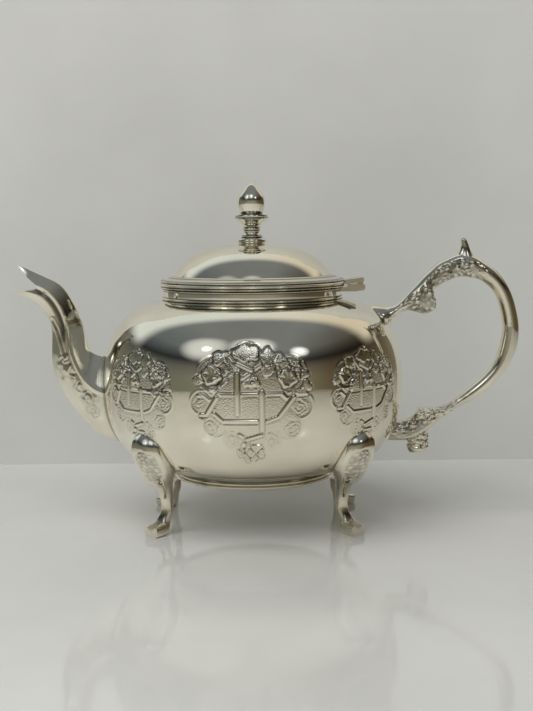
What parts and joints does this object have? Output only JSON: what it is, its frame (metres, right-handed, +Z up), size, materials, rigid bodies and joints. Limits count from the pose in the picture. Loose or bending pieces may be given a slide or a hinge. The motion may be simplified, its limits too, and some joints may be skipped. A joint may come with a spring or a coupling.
{
  "type": "silver teapot",
  "caption": "Round polished silver teapot with a hinged domed lid, bird-beak spout, scrolled cast handle and paw-like legs, for brewing and pouring tea.",
  "frame": {"origin": "on the bowl's axis, in the plane of the four soles (table level)", "axes": "+Z up, -X towards the spout, +X towards the handle, -Y towards the picture's viewer"},
  "size_m": [0.254, 0.1506, 0.171],
  "materials": {
    "polished_silver": "mirror polished silver plate with fine wiping scratches",
    "turned_silver": "turned and polished silver plate, fine turned lines",
    "cast_silver": "cast ornament, bright on the high parts, dark tarnish in the recesses",
    "underside_silver": "less polished silver plate out of sight",
    "hinge_metal": "filed and polished nickel silver",
    "fastener_brass": "plain brass inside the lid"
  },
  "bodies": {
    "pot": {"body_shell": "polished_silver", "base_plate": "underside_silver", "base_ring": "turned_silver", "collar": "turned_silver", "spout": "cast_silver", "handle": "cast_silver", "leg_front_left": "cast_silver", "leg_front_right": "cast_silver", "leg_back_left": "cast_silver", "leg_back_right": "cast_silver", "hinge_collar_leaf": "hinge_metal", "hinge_pin": "hinge_metal"},
    "lid": {"hinge_lid_leaf": "hinge_metal", "lid_rim": "turned_silver", "lid_dome": "polished_silver", "lid_bezel": "underside_silver", "finial_pedestal": "turned_silver", "finial_bud": "turned_silver", "finial_stud": "fastener_brass", "finial_washer": "fastener_brass", "finial_nut": "fastener_brass"}
  },
  "joints": [
    {"name": "lid_hinge", "type": "hinge", "parent": "pot", "child": "lid", "pos_m": [0.0547, 0, 0.1188], "axis": [0, 1, 0], "range_deg": [0, 110]}
  ]
}
